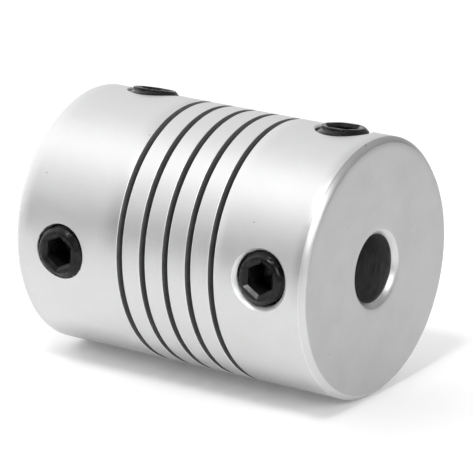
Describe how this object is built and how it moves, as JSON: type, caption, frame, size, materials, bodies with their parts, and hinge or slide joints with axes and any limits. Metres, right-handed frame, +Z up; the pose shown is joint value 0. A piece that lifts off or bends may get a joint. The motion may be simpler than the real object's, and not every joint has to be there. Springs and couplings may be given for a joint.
{
  "type": "beam coupling",
  "caption": "Helical beam shaft coupling: one turned aluminium body with a spiral slit between two hubs, clamped on the shafts by hex socket set screws.",
  "frame": {"origin": "on the shaft axis, half way along the body", "axes": "+X along the shaft axis towards the small bore's end, +Z up, where one set screw of each hub faces, and -Y to the front, where the other one faces"},
  "size_m": [0.025, 0.0193, 0.0193],
  "materials": {
    "aluminium_body": "fine bead-blasted, clear anodised",
    "black_screw": "black oxide, oiled"
  },
  "bodies": {
    "small_hub": {"small_hub": "aluminium_body"},
    "large_hub": {"large_hub": "aluminium_body"},
    "beam_1": {"beam_1": "aluminium_body"},
    "beam_2": {"beam_2": "aluminium_body"},
    "beam_3": {"beam_3": "aluminium_body"},
    "beam_4": {"beam_4": "aluminium_body"},
    "beam_5": {"beam_5": "aluminium_body"},
    "beam_6": {"beam_6": "aluminium_body"},
    "beam_7": {"beam_7": "aluminium_body"},
    "beam_8": {"beam_8": "aluminium_body"},
    "screw_small_front": {"screw_small_front": "black_screw"},
    "screw_small_top": {"screw_small_top": "black_screw"},
    "screw_large_front": {"screw_large_front": "black_screw"},
    "screw_large_top": {"screw_large_top": "black_screw"}
  },
  "joints": [
    {"name": "small_end_pitch", "type": "hinge", "parent": "small_hub", "child": "beam_8", "pos_m": [0.00429, 0, 0], "axis": [0, 1, 0], "range_deg": [-1, 1], "stiffness_Nm_per_rad": 1.2},
    {"name": "small_end_yaw", "type": "hinge", "parent": "beam_8", "child": "beam_7", "pos_m": [0.0033, 0, 0], "axis": [0, 0, 1], "range_deg": [-1, 1], "stiffness_Nm_per_rad": 1.2},
    {"name": "beam_twist", "type": "hinge", "parent": "beam_7", "child": "beam_6", "pos_m": [0.00232, 0, 0], "axis": [1, 0, 0], "range_deg": [-0.5, 0.5], "stiffness_Nm_per_rad": 57},
    {"name": "beam_stretch", "type": "slide", "parent": "beam_6", "child": "beam_5", "axis": [-1, 0, 0], "range_m": [-0.00015, 0.00015], "stiffness_N_per_m": 55000},
    {"name": "beam_twist_middle", "type": "hinge", "parent": "beam_5", "child": "beam_4", "pos_m": [0.00035, 0, 0], "axis": [1, 0, 0], "range_deg": [-0.5, 0.5]},
    {"name": "beam_stretch_large_half", "type": "slide", "parent": "beam_4", "child": "beam_3", "axis": [-1, 0, 0], "range_m": [-0.00015, 0.00015]},
    {"name": "beam_twist_large_half", "type": "hinge", "parent": "beam_3", "child": "beam_2", "pos_m": [-0.00162, 0, 0], "axis": [1, 0, 0], "range_deg": [-0.5, 0.5]},
    {"name": "large_end_yaw", "type": "hinge", "parent": "beam_2", "child": "beam_1", "pos_m": [-0.00261, 0, 0], "axis": [0, 0, 1], "range_deg": [-1, 1], "stiffness_Nm_per_rad": 1.2},
    {"name": "large_end_pitch", "type": "hinge", "parent": "beam_1", "child": "large_hub", "pos_m": [-0.0036, 0, 0], "axis": [0, 1, 0], "range_deg": [-1, 1], "stiffness_Nm_per_rad": 1.2},
    {"name": "screw_small_front_travel", "type": "slide", "parent": "small_hub", "child": "screw_small_front", "axis": [0, -0.9925, 0.1219], "range_m": [-0.0014, 0.0035]},
    {"name": "screw_small_top_travel", "type": "slide", "parent": "small_hub", "child": "screw_small_top", "axis": [0, 0.1305, 0.9914], "range_m": [-0.0021, 0.0035]},
    {"name": "screw_large_front_travel", "type": "slide", "parent": "large_hub", "child": "screw_large_front", "axis": [0, -1, 0], "range_m": [-0.0007, 0.0035]},
    {"name": "screw_large_top_travel", "type": "slide", "parent": "large_hub", "child": "screw_large_top", "axis": [0, 0.2419, 0.9703], "range_m": [-0.0007, 0.0035]}
  ],
  "couplings": [
    {"joint": "beam_twist_middle", "follows": "beam_twist", "ratio": 1},
    {"joint": "beam_twist_large_half", "follows": "beam_twist", "ratio": 1},
    {"joint": "beam_stretch_large_half", "follows": "beam_stretch", "ratio": 1}
  ]
}
